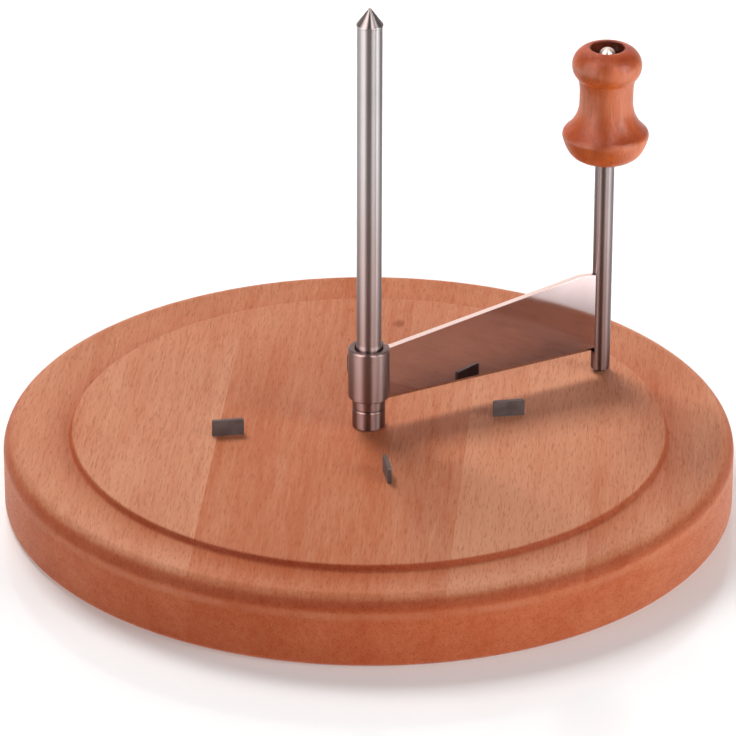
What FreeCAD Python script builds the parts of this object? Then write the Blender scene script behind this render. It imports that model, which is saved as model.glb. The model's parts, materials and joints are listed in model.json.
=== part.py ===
# Cheese curler: a scraper blade that is cranked round a spindle, above a round wooden board.
#
# Frame: the origin is the centre of the board's underside, +Z runs up the spindle and the blade
# reaches out along +X. All sizes are millimetres and degrees, and stand once in the sheet "Sizes".

import FreeCAD, Part
import math
import os
import Sketcher

ORIGIN = -1
X_AXIS = -1
Y_AXIS = -2
START, END, CENTRE = 1, 2, 3
SAME = 1e-5  # lengths that differ by less are equal

SIZES = {
    # board
    "board_diameter": (220, "overall width of the board"),
    "board_thickness": (22.4, "height of the board's top above the table"),
    "board_edge_round": (4.6, "round along the rim"),
    "board_foot_bevel": (1.2, "bevel of the bottom edge"),
    "rim_drop": (0.65, "rim below the board's top"),
    "groove_inset": (18.9, "deepest line of the crumb groove from the board's edge"),
    "groove_round": (1.2, "round between the groove's wall and its deepest line"),
    "groove_wall_slope": (65, "slope of the groove's inner wall, from level"),
    "groove_depth": (2.05, "depth of the groove below the board's top"),
    # prongs, pressed into slots of the board on a cross
    "prong_width": (9.6, "width, along the radius"),
    "prong_thickness": (1.2, "plate thickness"),
    "prong_height": (5, "height above the board"),
    "prong_tang": (9, "depth in the board"),
    "prong_far_radius": (42.8, "centre of the first pair from the spindle"),
    "prong_near_radius": (34.4, "centre of the second pair from the spindle"),
    "prong_turn": (-19, "direction of the first pair, from +X"),
    "prong_gap": (0.03, "room between a prong and its slot"),
    # spindle and its point
    "spindle_diameter": (7.5, "ground shaft above the journal"),
    "spindle_reach": (129.8, "shaft's top above the board"),
    "spindle_seat_depth": (8, "length inside the board"),
    "journal_step": (0.15, "how far the journal under the hub stands out from the shaft"),
    "journal_proud": (0.5, "length of journal above the hub"),
    "journal_taper": (1, "length of the cone from journal to shaft"),
    "seat_gap": (0.05, "room round the journal in the board and in the fixed collar"),
    "point_lip": (0.225, "how far the point's rim stands out from the shaft"),
    "point_lip_height": (0.5, "straight rim below the cone"),
    "point_height": (5.55, "rim and cone together"),
    "point_tip_diameter": (0.5, "flat of the blunted tip"),
    "point_spigot_bevel": (0.4, "bevel of the spigot's lower end"),
    "point_spigot_diameter": (4, "spigot inside the shaft"),
    "point_spigot_length": (8, "spigot's length"),
    "spigot_gap": (0.03, "room round the spigot"),
    # screw that holds the spindle down
    "screw_diameter": (5, "M5, thread left plain"),
    "screw_engagement": (9.8, "length inside the spindle"),
    "screw_head_diameter": (9.5, "button head"),
    "screw_head_height": (2.75, "button head"),
    "screw_head_rim": (0.55, "straight rim of the head"),
    "screw_hex": (3, "across the flats of the socket"),
    "screw_hex_depth": (1.6, "depth of the socket"),
    "screw_gap": (0.03, "room round the screw in the spindle"),
    "screw_recess": (1.85, "head's lower face above the table"),
    "screw_hole_gap": (0.25, "room round the screw in the board and the washers"),
    "tapped_run_out": (3.2, "tapped hole beyond the screw's end"),
    "washer_diameter": (15, "wide plain washer"),
    "washer_thickness": (1.2, "wide plain washer"),
    "spring_washer_diameter": (9.2, "split spring washer"),
    "spring_washer_thickness": (1.2, "split spring washer"),
    "spring_washer_slit": (1, "width of the split"),
    "counterbore_room": (1, "room round the plain washer in the recess under the board"),
    # fixed collar and loose ring at the foot of the spindle
    "collar_wall": (1.05, "wall of the fixed collar"),
    "collar_height": (6.2, "fixed collar"),
    "ring_height": (3.5, "loose bearing ring"),
    "ring_gap": (0.1, "room round the journal in the loose ring"),
    "collar_bevel": (0.35, "bevel of the collar's and the ring's outer edges"),
    # hub
    "hub_gap": (0.3, "room round the journal, wide enough to pass over the point"),
    "hub_wall": (2.05, "wall of the tube"),
    "hub_height": (16.3, "length on the spindle"),
    "hub_bevel": (0.4, "bevel of the outer edges and the bore's mouths"),
    # blade
    "blade_thickness": (2, "ground plate"),
    "blade_drop": (2.6, "cutting edge below the hub"),
    "blade_root_inset": (1.85, "top of the blade at the hub, below the hub's top"),
    "blade_rise": (9.1, "how far the top edge climbs towards the rod"),
    "blade_corner": (5, "length of the rounded corner outside the rod"),
    "blade_corner_round": (7, "radius of that corner"),
    "blade_corner_drop": (0.5, "how far the corner falls"),
    "blade_bevel_height": (1.6, "ground bevel on the near side"),
    "blade_edge_thickness": (0.35, "what the bevel leaves at the cutting edge"),
    "blade_let_in": (1, "depth of the slots in the hub and the rod"),
    # crank rod
    "crank_radius": (80.6, "rod's axis from the spindle's axis"),
    "rod_diameter": (5.9, "ground rod"),
    "rod_lift": (0.8, "rod's lower end above the board"),
    "rod_bevel": (0.5, "bevel of the lower end"),
    "rod_shoulder": (0.55, "step from the rod in to the part that the knob turns on"),
    "rod_dome_height": (1.5, "domed upper end"),
    # knob and what holds it on the rod
    "knob_level": (71.45, "knob's lower end above the board"),
    "knob_neck_diameter": (16.2, "narrowest part"),
    "knob_base_swell": (5, "how far the base stands out from the neck"),
    "knob_head_swell": (2.45, "how far the head stands out from the neck"),
    "knob_base_rise": (7.6, "from the lower end up to the widest part of the base"),
    "knob_flare_rise": (10.9, "from there up to the neck"),
    "knob_neck_rise": (3, "straight part of the neck"),
    "knob_shoulder_rise": (4.5, "from the neck up to the head's bead"),
    "knob_bead_rise": (4.3, "from there up to the widest part of the bead"),
    "knob_bead_round": (5.75, "round of the bead"),
    "knob_foot_diameter": (14, "flat lower end"),
    "knob_underside_round": (6.4, "round from the lower end up to the side"),
    "knob_side_inset": (1.55, "foot of the side, in from the widest part of the base"),
    "knob_side_level": (3.3, "foot of the side, above the lower end"),
    "knob_side_round": (16, "round of the side"),
    "knob_crest_width": (0.7, "round above the widest part of the base"),
    "knob_crest_height": (1.7, "round above the widest part of the base"),
    "knob_rim": (1.1, "width of the flat rim round the recess"),
    "knob_recess_depth": (5, "recess in the top"),
    "knob_recess_room": (0.9, "room round the retaining ring in the recess"),
    "knob_socket_depth": (8, "how far the full rod enters"),
    "knob_gap": (0.1, "room round the rod and its journal"),
    "knob_washer_room": (0.4, "room round the washer in the recess"),
    "knob_washer_thickness": (0.8, "plain washer"),
    "knob_play": (0.2, "play along the rod"),
    "clip_width": (2.15, "retaining ring, from its bore to its outside"),
    "clip_thickness": (0.7, "retaining ring"),
    "clip_opening": (3.6, "retaining ring's open side"),
    "clip_groove_depth": (0.4, "groove in the rod's journal"),
    "clip_gap": (0.05, "room round the groove's bottom and beside the ring"),
}

# Formulas that several sub-parts share. A dollar stands before each word of the sheet.
JOURNAL = "($spindle_diameter + 2 * $journal_step)"
COLLAR = f"({JOURNAL} + 2 * $seat_gap + 2 * $collar_wall)"
HUB_BORE = f"({JOURNAL} + 2 * $hub_gap)"
HUB = f"({HUB_BORE} + 2 * $hub_wall)"
HUB_LEVEL = "($collar_height + $ring_height)"
BLADE_LEVEL = f"({HUB_LEVEL} - $blade_drop)"
BLADE_ROOT = "($blade_drop + $hub_height - $blade_root_inset)"
BLADE_END = f"({BLADE_ROOT} + $blade_rise)"
HUB_SLOT = f"({HUB} / 2 - $blade_let_in)"
ROD_SLOT = "($rod_diameter / 2 - $blade_let_in)"
ROD_JOURNAL = "($rod_diameter - 2 * $rod_shoulder)"
CLIP_BORE = f"({ROD_JOURNAL} - 2 * $clip_groove_depth + 2 * $clip_gap)"
CLIP = f"({CLIP_BORE} + 2 * $clip_width)"
KNOB_RECESS = f"({CLIP} + 2 * $knob_recess_room)"
KNOB_BASE = "($knob_neck_diameter + 2 * $knob_base_swell)"
KNOB_NECK_LEVEL = "($knob_base_rise + $knob_flare_rise)"
KNOB_BEAD_LEVEL = f"({KNOB_NECK_LEVEL} + $knob_neck_rise + $knob_shoulder_rise)"
KNOB_HEAD = "($knob_neck_diameter + 2 * $knob_head_swell)"
KNOB_CROWN = f"({KNOB_RECESS} + 2 * $knob_rim)"
KNOB_WIDEST = f"({KNOB_BEAD_LEVEL} + $knob_bead_rise)"
KNOB_BEAD_AXIS = f"({KNOB_HEAD} / 2 - $knob_bead_round)"
KNOB_HEIGHT = f"({KNOB_WIDEST} + sqrt($knob_bead_round ^ 2 - ({KNOB_CROWN} / 2 - {KNOB_BEAD_AXIS}) ^ 2))"
RECESS_FLOOR = f"({KNOB_HEIGHT} - $knob_recess_depth)"
SCREW_HOLE = "($screw_diameter + 2 * $screw_hole_gap)"
SPRING_WASHER_LEVEL = "($screw_recess + $screw_head_height)"
WASHER_LEVEL = f"({SPRING_WASHER_LEVEL} + $spring_washer_thickness)"
COUNTERBORE_DEPTH = f"({WASHER_LEVEL} + $washer_thickness)"
SCREW_LENGTH = f"($board_thickness - $spindle_seat_depth - {SPRING_WASHER_LEVEL} + $screw_engagement)"

doc = FreeCAD.newDocument("CheeseCurler")
sheet = doc.addObject("Spreadsheet::Sheet", "Sizes")
for row, (alias, (number, note)) in enumerate(SIZES.items(), start=1):
    sheet.set(f"A{row}", alias)
    sheet.set(f"B{row}", str(number))
    sheet.set(f"C{row}", note)
    sheet.setAlias(f"B{row}", alias)
doc.recompute()


def cells(text):
    """Turn sheet words in a formula, written with a leading dollar, into references to the sheet."""
    return text.replace("$", "Sizes.")


def value(feature, text):
    """What a formula comes to, as a plain number."""
    result = feature.evalExpression(cells(text))
    return float(getattr(result, "Value", result))


def bind(feature, **formulas):
    """Bind properties of a feature to formulas of the sheet."""
    for name, text in formulas.items():
        feature.setExpression(name, cells(text))


# ---------------------------------------------------------------- sketches


def new_body(label):
    body = doc.addObject("PartDesign::Body", label)
    body.Label = label
    return body


def place(body, x="0", y="0", z="0", turn="0"):
    """Place a sub-part: its origin at x, y, z, turned about +Z."""
    for axis, text in (("x", x), ("y", y), ("z", z)):
        body.setExpression(f"Placement.Base.{axis}", cells(text))
    body.setExpression("Placement.Rotation.Angle", cells(turn))


def new_sketch(body, name, plane="XY_Plane", lift="0", turn="0"):
    """Sketch on one of the body's own planes, lifted along its normal and turned about it."""
    sketch = body.newObject("Sketcher::SketchObject", name)
    support = [item for item in body.Origin.OriginFeatures if item.Role == plane]
    sketch.AttachmentSupport = [(support[0], "")]
    sketch.MapMode = "FlatFace"
    sketch.setExpression("AttachmentOffset.Base.z", cells(lift))
    sketch.setExpression("AttachmentOffset.Rotation.Angle", cells(turn))
    return sketch


def bound(sketch, kind, operands, text):
    """Add a dimension to the sketch and bind it to a formula."""
    index = sketch.addConstraint(Sketcher.Constraint(kind, *operands, value(sketch, text)))
    sketch.setExpression(f"Constraints[{index}]", cells(text))


def locate(sketch, geometry, point, x, y):
    """Fix a point of the sketch at x, y from the sketch's origin."""
    for kind, text, axis in (("DistanceX", x, Y_AXIS), ("DistanceY", y, X_AXIS)):
        if text == "0":
            sketch.addConstraint(Sketcher.Constraint("PointOnObject", geometry, point, axis))
        elif value(sketch, text) < 0:
            bound(sketch, kind, (geometry, point, ORIGIN, START), f"-({text})")
        else:
            bound(sketch, kind, (ORIGIN, START, geometry, point), text)


def arc_between(start, end, radius, centre_on_left):
    """Arc from start to end, and whether it runs from start to end anticlockwise."""
    chord = end - start
    reach = math.sqrt(radius ** 2 - (chord.Length / 2) ** 2)
    left = FreeCAD.Vector(-chord.y, chord.x, 0) / chord.Length
    centre = (start + end) / 2 + left * (reach if centre_on_left else -reach)
    first, last = (start, end) if centre_on_left else (end, start)
    angles = [math.atan2(corner.y - centre.y, corner.x - centre.x) for corner in (first, last)]
    return Part.ArcOfCircle(Part.Circle(centre, FreeCAD.Vector(0, 0, 1), radius), *angles)


def outline(sketch, corners, bends=None):
    """Closed outline. A bend turns the side after a corner into an arc: (radius, centre's side)."""
    bends = bends or {}
    points = [FreeCAD.Vector(value(sketch, x), value(sketch, y), 0) for x, y in corners]
    sides = []
    for index, start in enumerate(points):
        end = points[(index + 1) % len(points)]
        if index in bends:
            text, hand = bends[index]
            left = hand == "left"
            geometry = sketch.addGeometry(arc_between(start, end, value(sketch, text), left))
            bound(sketch, "Radius", (geometry,), text)
            sides.append((geometry, START, END) if left else (geometry, END, START))
        else:
            sides.append((sketch.addGeometry(Part.LineSegment(start, end)), START, END))
    for index, (geometry, first, last) in enumerate(sides):
        follower, follower_first, _ = sides[(index + 1) % len(sides)]
        sketch.addConstraint(Sketcher.Constraint("Coincident", geometry, last, follower, follower_first))
        locate(sketch, geometry, first, *corners[index])


def rectangle(sketch, low_x, low_y, high_x, high_y):
    outline(sketch, [(low_x, low_y), (high_x, low_y), (high_x, high_y), (low_x, high_y)])


def circle(sketch, diameter, x="0", y="0"):
    centre = FreeCAD.Vector(value(sketch, x), value(sketch, y), 0)
    radius = value(sketch, diameter) / 2
    geometry = sketch.addGeometry(Part.Circle(centre, FreeCAD.Vector(0, 0, 1), radius))
    if x == "0" and y == "0":
        sketch.addConstraint(Sketcher.Constraint("Coincident", geometry, CENTRE, ORIGIN, START))
    else:
        locate(sketch, geometry, CENTRE, x, y)
    bound(sketch, "Diameter", (geometry,), diameter)


# ---------------------------------------------------------------- features


def revolve(body, name, sketch):
    """Turn the sketch once round its own vertical axis."""
    feature = body.newObject("PartDesign::Revolution", name)
    feature.Profile = sketch
    feature.ReferenceAxis = (sketch, ["V_Axis"])
    feature.Angle = 360
    sketch.Visibility = False
    doc.recompute()
    return feature


def pad(body, name, sketch, length, symmetric=False):
    feature = body.newObject("PartDesign::Pad", name)
    feature.Profile = sketch
    feature.SideType = "Symmetric" if symmetric else "One side"
    bind(feature, Length=length)
    sketch.Visibility = False
    doc.recompute()
    return feature


def pocket(body, name, sketch, length=None, reverse=False, symmetric=False):
    """Cut the sketch against its normal, or along it if reversed; right through with no length."""
    before = body.Shape.Volume
    feature = body.newObject("PartDesign::Pocket", name)
    feature.Profile = sketch
    feature.SideType = "Symmetric" if symmetric else "One side"
    feature.Reversed = reverse
    if length is None:
        feature.Type = "ThroughAll"
    else:
        bind(feature, Length=length)
    sketch.Visibility = False
    doc.recompute()
    if not body.Shape.Volume < before:
        raise RuntimeError(f"{name} cuts nothing")
    return feature


def round_edges(feature, diameter, level):
    """Names of the feature's circular edges of that diameter, level with that height."""
    radius = value(feature, diameter) / 2
    height = value(feature, level)
    names = []
    for number, edge in enumerate(feature.Shape.Edges, start=1):
        if isinstance(edge.Curve, Part.Circle):
            same_size = abs(edge.Curve.Radius - radius) < SAME
            if same_size and abs(edge.Curve.Center.z - height) < SAME:
                names.append(f"Edge{number}")
    if not names:
        raise RuntimeError(f"{feature.Name} has no round edge {diameter} at {level}")
    return names


def chamfer(body, name, size, *edges):
    """Bevel circular edges, each given as (diameter, level)."""
    base = body.Tip
    names = [edge for diameter, level in edges for edge in round_edges(base, diameter, level)]
    feature = body.newObject("PartDesign::Chamfer", name)
    feature.Base = (base, names)
    bind(feature, Size=size)
    doc.recompute()
    return feature


# ---------------------------------------------------------------- base


def upright_arc(step, rise):
    """Radius of an arc that stands upright at one end: step across and rise up to the other end."""
    return f"(({step}) ^ 2 + ({rise}) ^ 2) / (2 * ({step}))"


def make_board():
    """Turned board with its groove, spindle seat, screw hole with counterbore, and prong slots."""
    body = new_body("board")
    top = "$board_thickness"
    edge = "$board_diameter / 2"
    rim = f"({top} - $rim_drop)"
    rim_start = f"({edge} - $board_edge_round)"

    # A steep wall runs down into the groove, and a long hollow slope climbs from it to the rim.
    floor_radius = f"({edge} - $groove_inset)"
    floor = f"({top} - $groove_depth)"
    wall_radius = f"({floor_radius} - $groove_round * sin($groove_wall_slope))"
    wall_foot = f"({floor} + $groove_round * (1 - cos($groove_wall_slope)))"
    lip = f"{wall_radius} - ({top} - {wall_foot}) / tan($groove_wall_slope)"
    hollow = upright_arc(f"{rim} - {floor}", f"{rim_start} - {floor_radius}")
    section = new_sketch(body, "board_section", "XZ_Plane")
    outline(section, [
        ("0", "0"),
        (f"{edge} - $board_foot_bevel", "0"),
        (edge, "$board_foot_bevel"),
        (edge, f"{rim} - $board_edge_round"),
        (rim_start, rim),
        (floor_radius, floor),
        (wall_radius, wall_foot),
        (lip, top),
        ("0", top),
    ], {3: ("$board_edge_round", "left"), 4: (hollow, "right"), 5: ("$groove_round", "right")})
    revolve(body, "board_turning", section)

    seat = new_sketch(body, "seat_outline", lift=top)
    circle(seat, f"{JOURNAL} + 2 * $seat_gap")
    pocket(body, "spindle_seat", seat, "$spindle_seat_depth")
    recess = new_sketch(body, "counterbore_outline")
    circle(recess, "$washer_diameter + 2 * $counterbore_room")
    pocket(body, "counterbore", recess, COUNTERBORE_DEPTH, reverse=True)
    hole = new_sketch(body, "screw_hole_outline", lift=top)
    circle(hole, SCREW_HOLE)
    pocket(body, "screw_hole", hole)

    slots = new_sketch(body, "slot_outlines", lift=top, turn="$prong_turn")
    long_half = "($prong_width / 2 + $prong_gap)"
    thin_half = "($prong_thickness / 2 + $prong_gap)"
    for side in ("", "-"):
        far = f"{side}$prong_far_radius"
        near = f"{side}$prong_near_radius"
        rectangle(slots, f"{far} - {long_half}", f"-{thin_half}", f"{far} + {long_half}", thin_half)
        rectangle(slots, f"-{thin_half}", f"{near} - {long_half}", thin_half, f"{near} + {long_half}")
    pocket(body, "prong_slots", slots, "$prong_tang + $prong_gap")
    return body


def make_prong(number):
    """Plate on edge, along the radius. Its tang in the board tapers to a driving edge."""
    body = new_body(f"holding_prong_{number}")
    profile = new_sketch(body, f"prong_outline_{number}", "XZ_Plane")
    half = "$prong_width / 2"
    corner = "$prong_thickness / 4"
    outline(profile, [
        (f"-{half} + $prong_width / 5", "-$prong_tang"),
        (f"{half} - $prong_width / 5", "-$prong_tang"),
        (half, "-$prong_tang / 2"),
        (half, f"$prong_height - {corner}"),
        (f"{half} - {corner}", "$prong_height"),
        (f"-{half} + {corner}", "$prong_height"),
        (f"-{half}", f"$prong_height - {corner}"),
        (f"-{half}", "-$prong_tang / 2"),
    ])
    pad(body, f"prong_plate_{number}", profile, "$prong_thickness", symmetric=True)
    radius = "$prong_far_radius" if number % 2 else "$prong_near_radius"
    turn = f"$prong_turn + {90 * (number - 1)}"
    place(body, f"{radius} * cos({turn})", f"{radius} * sin({turn})", "$board_thickness", turn)
    return body


def make_spindle():
    """Ground shaft on its journal, bored above for the point and tapped below for the screw."""
    body = new_body("spindle")
    profile = new_sketch(body, "spindle_profile", "XZ_Plane")
    journal = f"{JOURNAL} / 2"
    journal_top = f"{HUB_LEVEL} + $hub_height + $journal_proud"
    shaft = "$spindle_diameter / 2"
    tapped = "$screw_diameter / 2 + $screw_gap"
    bore = "$point_spigot_diameter / 2 + $spigot_gap"
    bevel = "$collar_bevel"
    bore_floor = "$spindle_reach - $point_spigot_length - $spigot_gap"
    tapped_end = "$screw_engagement + $tapped_run_out - $spindle_seat_depth"
    outline(profile, [
        (tapped, "-$spindle_seat_depth"),
        (f"{journal} - {bevel}", "-$spindle_seat_depth"),
        (journal, f"-$spindle_seat_depth + {bevel}"),
        (journal, journal_top),
        (shaft, f"{journal_top} + $journal_taper"),
        (shaft, "$spindle_reach"),
        (bore, "$spindle_reach"),
        (bore, bore_floor),
        ("0", bore_floor),
        ("0", tapped_end),
        (tapped, tapped_end),
    ])
    revolve(body, "spindle_turning", profile)
    place(body, z="$board_thickness")
    return body


def make_spindle_point():
    """Cone with a small lip, on a spigot inside the spindle's top."""
    body = new_body("spindle_point")
    profile = new_sketch(body, "point_profile", "XZ_Plane")
    spigot = "$point_spigot_diameter / 2"
    lip = "$spindle_diameter / 2 + $point_lip"
    outline(profile, [
        ("0", "-$point_spigot_length"),
        (f"{spigot} - $point_spigot_bevel", "-$point_spigot_length"),
        (spigot, "-$point_spigot_length + $point_spigot_bevel"),
        (spigot, "0"),
        (lip, "0"),
        (lip, "$point_lip_height"),
        ("$point_tip_diameter / 2", "$point_height"),
        ("0", "$point_height"),
    ])
    revolve(body, "point_turning", profile)
    place(body, z="$board_thickness + $spindle_reach")
    return body


def make_ring(label, bore, height, level):
    """Bevelled ring round the journal."""
    body = new_body(label)
    profile = new_sketch(body, f"{label}_outline")
    circle(profile, COLLAR)
    circle(profile, bore)
    pad(body, f"{label}_blank", profile, height)
    chamfer(body, f"{label}_bevels", "$collar_bevel", (COLLAR, "0"), (COLLAR, height))
    place(body, z=level)
    return body


def make_washer(label, diameter, bore, thickness, level, x="0", slit=None):
    """Flat washer, with an open side towards +X if a slit's width is given."""
    body = new_body(label)
    profile = new_sketch(body, f"{label}_outline")
    circle(profile, diameter)
    circle(profile, bore)
    pad(body, f"{label}_blank", profile, thickness)
    if slit:
        opening = new_sketch(body, f"{label}_slit", lift=thickness)
        rectangle(opening, "0", f"-{slit} / 2", diameter, f"{slit} / 2")
        pocket(body, f"{label}_opening", opening)
    place(body, x=x, z=level)
    return body


def make_anchor_screw():
    """Button-head screw from below. Its own frame has the head's seat at zero."""
    body = new_body("anchor_screw")
    profile = new_sketch(body, "screw_profile", "XZ_Plane")
    shank = "$screw_diameter / 2"
    head = "$screw_head_diameter / 2"
    crown = "$screw_head_diameter / 4"
    drop = "$screw_head_height"
    outline(profile, [
        ("0", f"-{drop}"),
        (crown, f"-{drop}"),
        (head, "-$screw_head_rim"),
        (head, "0"),
        (shank, "0"),
        (shank, f"{SCREW_LENGTH} - {shank} / 4"),
        (f"{shank} * 3 / 4", SCREW_LENGTH),
        ("0", SCREW_LENGTH),
    ])
    revolve(body, "screw_turning", profile)

    socket = new_sketch(body, "socket_outline", lift=f"-{drop}")
    corner = "$screw_hex / sqrt(3)"
    outline(socket, [(f"{corner} * cos({60 * k})" if k != 3 else f"-{corner}",
                      f"{corner} * sin({60 * k})" if k % 3 else "0") for k in range(6)])
    pocket(body, "hex_socket", socket, "$screw_hex_depth", reverse=True)
    place(body, z=SPRING_WASHER_LEVEL)
    return body


# ---------------------------------------------------------------- scraper


def make_blade_hub():
    """Short tube with bevelled mouths and a slot for the blade along its +X side."""
    body = new_body("blade_hub")
    profile = new_sketch(body, "hub_outline")
    circle(profile, HUB)
    circle(profile, HUB_BORE)
    pad(body, "hub_tube", profile, "$hub_height")
    rims = [(diameter, level) for diameter in (HUB, HUB_BORE) for level in ("0", "$hub_height")]
    chamfer(body, "hub_bevels", "$hub_bevel", *rims)
    slot = new_sketch(body, "hub_slot_outline", "YZ_Plane", lift=HUB_SLOT)
    rectangle(slot, "-$blade_thickness / 2", "-$hub_height", "$blade_thickness / 2", "2 * $hub_height")
    pocket(body, "hub_slot", slot, reverse=True)
    place(body, z=f"$board_thickness + {HUB_LEVEL}")
    return body


def make_scraper_blade():
    """Ground plate from the hub to the rod, higher at the rod, bevelled along its lower edge."""
    body = new_body("scraper_blade")
    profile = new_sketch(body, "blade_outline", "XZ_Plane")
    outer = f"$crank_radius - {ROD_SLOT}"
    corner = "$crank_radius - $rod_diameter / 2 - $blade_corner"
    outline(profile, [
        (f"{HUB} / 2", "0"),
        (outer, "0"),
        (outer, f"{BLADE_END} - $blade_corner_drop"),
        (corner, BLADE_END),
        (HUB_SLOT, BLADE_ROOT),
        (HUB_SLOT, "$blade_drop"),
        (f"{HUB} / 2", "$blade_drop"),
    ], {2: ("$blade_corner_round", "left")})
    pad(body, "blade_plate", profile, "$blade_thickness", symmetric=True)

    bevel = new_sketch(body, "bevel_outline", "YZ_Plane")
    near_side = "-$blade_thickness / 2"
    outline(bevel, [
        (near_side, "0"),
        (f"{near_side} + $blade_thickness - $blade_edge_thickness", "0"),
        (near_side, "$blade_bevel_height"),
    ])
    pocket(body, "ground_bevel", bevel, "2 * $crank_radius", symmetric=True)
    place(body, z=f"$board_thickness + {BLADE_LEVEL}")
    return body


def make_crank_rod():
    """Upright rod: slotted for the blade, stepped down for the knob, grooved for its ring, domed."""
    body = new_body("crank_rod")
    profile = new_sketch(body, "rod_profile", "XZ_Plane")
    rod = "$rod_diameter / 2"
    journal = f"{ROD_JOURNAL} / 2"
    groove = f"{journal} - $clip_groove_depth"
    shoulder = "$knob_level + $knob_socket_depth - $rod_lift"
    top = f"$knob_level + {KNOB_HEIGHT} - $rod_lift"
    groove_low = f"{top} - $knob_recess_depth + $knob_washer_thickness + $knob_play"
    groove_high = f"{groove_low} + $clip_thickness + 2 * $clip_gap"
    dome_edge = f"{top} - $rod_dome_height"
    dome = f"(({journal}) ^ 2 + $rod_dome_height ^ 2) / (2 * $rod_dome_height)"
    outline(profile, [
        ("0", "0"),
        (f"{rod} - $rod_bevel", "0"),
        (rod, "$rod_bevel"),
        (rod, shoulder),
        (journal, shoulder),
        (journal, groove_low),
        (groove, groove_low),
        (groove, groove_high),
        (journal, groove_high),
        (journal, dome_edge),
        ("0", top),
    ], {9: (dome, "left")})
    revolve(body, "rod_turning", profile)

    slot = new_sketch(body, "rod_slot_outline", "YZ_Plane", lift=f"-{ROD_SLOT}")
    foot = f"{BLADE_LEVEL} - $rod_lift"
    rectangle(slot, "-$blade_thickness / 2", foot,
              "$blade_thickness / 2", f"{foot} + {BLADE_END}")
    pocket(body, "rod_slot", slot)
    place(body, x="$crank_radius", z="$board_thickness + $rod_lift")
    return body


# ---------------------------------------------------------------- knob


def make_knob():
    """Turned knob: round base, waisted neck and beaded head, bored right through in three steps."""
    body = new_body("knob")
    profile = new_sketch(body, "knob_profile", "XZ_Plane")
    socket = "$rod_diameter / 2 + $knob_gap"
    bore = f"{ROD_JOURNAL} / 2 + $knob_gap"
    recess = f"{KNOB_RECESS} / 2"
    base = f"{KNOB_BASE} / 2"
    neck = "$knob_neck_diameter / 2"
    crest = f"{base} - $knob_crest_width"
    crest_level = "$knob_base_rise + $knob_crest_height"

    # The crest is upright at the widest part. The arcs on either side of the neck are upright at it.
    crest_round = upright_arc("$knob_crest_width", "$knob_crest_height")
    flare = upright_arc(f"{crest} - {neck}", f"{KNOB_NECK_LEVEL} - ({crest_level})")
    bead_foot = f"({KNOB_BEAD_AXIS} + sqrt($knob_bead_round ^ 2 - $knob_bead_rise ^ 2))"
    shoulder = upright_arc(f"{bead_foot} - {neck}", "$knob_shoulder_rise")
    outline(profile, [
        (socket, "0"),
        ("$knob_foot_diameter / 2", "0"),
        (f"{base} - $knob_side_inset", "$knob_side_level"),
        (base, "$knob_base_rise"),
        (crest, crest_level),
        (neck, KNOB_NECK_LEVEL),
        (neck, f"{KNOB_NECK_LEVEL} + $knob_neck_rise"),
        (bead_foot, KNOB_BEAD_LEVEL),
        (f"{KNOB_CROWN} / 2", KNOB_HEIGHT),
        (recess, KNOB_HEIGHT),
        (recess, RECESS_FLOOR),
        (bore, RECESS_FLOOR),
        (bore, "$knob_socket_depth"),
        (socket, "$knob_socket_depth"),
    ], {1: ("$knob_underside_round", "left"), 2: ("$knob_side_round", "left"),
        3: (crest_round, "left"), 4: (flare, "right"), 6: (shoulder, "right"),
        7: ("$knob_bead_round", "left")})
    revolve(body, "knob_turning", profile)
    place(body, x="$crank_radius", z="$board_thickness + $knob_level")
    return body


# ---------------------------------------------------------------- assembly


def make_all():
    parts = [make_board()]
    parts += [make_prong(number) for number in (1, 2, 3, 4)]
    parts += [make_spindle(), make_spindle_point(), make_anchor_screw()]
    parts.append(make_washer("anchor_spring_washer", "$spring_washer_diameter", SCREW_HOLE,
                             "$spring_washer_thickness", SPRING_WASHER_LEVEL,
                             slit="$spring_washer_slit"))
    parts.append(make_washer("anchor_washer", "$washer_diameter", SCREW_HOLE,
                             "$washer_thickness", WASHER_LEVEL))
    parts.append(make_ring("spindle_collar", f"{JOURNAL} + 2 * $seat_gap", "$collar_height",
                           "$board_thickness"))
    parts.append(make_ring("bearing_ring", f"{JOURNAL} + 2 * $ring_gap", "$ring_height",
                           "$board_thickness + $collar_height"))
    parts += [make_blade_hub(), make_scraper_blade(), make_crank_rod(), make_knob()]
    recess_level = f"$board_thickness + $knob_level + {RECESS_FLOOR}"
    clip_level = f"{recess_level} + $knob_washer_thickness + $knob_play + $clip_gap"
    parts.append(make_washer("knob_washer", f"{KNOB_RECESS} - 2 * $knob_washer_room",
                             f"{ROD_JOURNAL} + 2 * $knob_gap", "$knob_washer_thickness",
                             recess_level, x="$crank_radius"))
    parts.append(make_washer("knob_retaining_ring", CLIP, CLIP_BORE, "$clip_thickness",
                             clip_level, x="$crank_radius", slit="$clip_opening"))
    return parts


def check_and_export(parts):
    """Stop on any failed object or shape, then write one STEP file for each sub-part."""
    doc.recompute()
    for item in doc.Objects:
        if "Invalid" in item.State or "Error" in item.State:
            raise RuntimeError(f"{item.Name} failed: {item.State}")
    for part in parts:
        if part.Shape.isNull() or not part.Shape.isValid() or not part.Shape.Solids:
            raise RuntimeError(f"{part.Label} has no sound solid")
    os.makedirs("parts", exist_ok=True)
    for part in parts:
        part.Shape.exportStep(f"parts/{part.Label}.step")
        box = part.Shape.optimalBoundingBox()
        print(f"{part.Label}: {len(part.Shape.Solids)} solid, {part.Shape.Volume:.1f} mm3, "
              f"z {box.ZMin:.2f} to {box.ZMax:.2f}")


check_and_export(make_all())
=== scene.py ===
import json
import math
from functools import partial

import bmesh
import bpy
from bpy.props import FloatProperty, FloatVectorProperty, IntProperty, PointerProperty
from mathutils import Matrix, Vector

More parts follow.
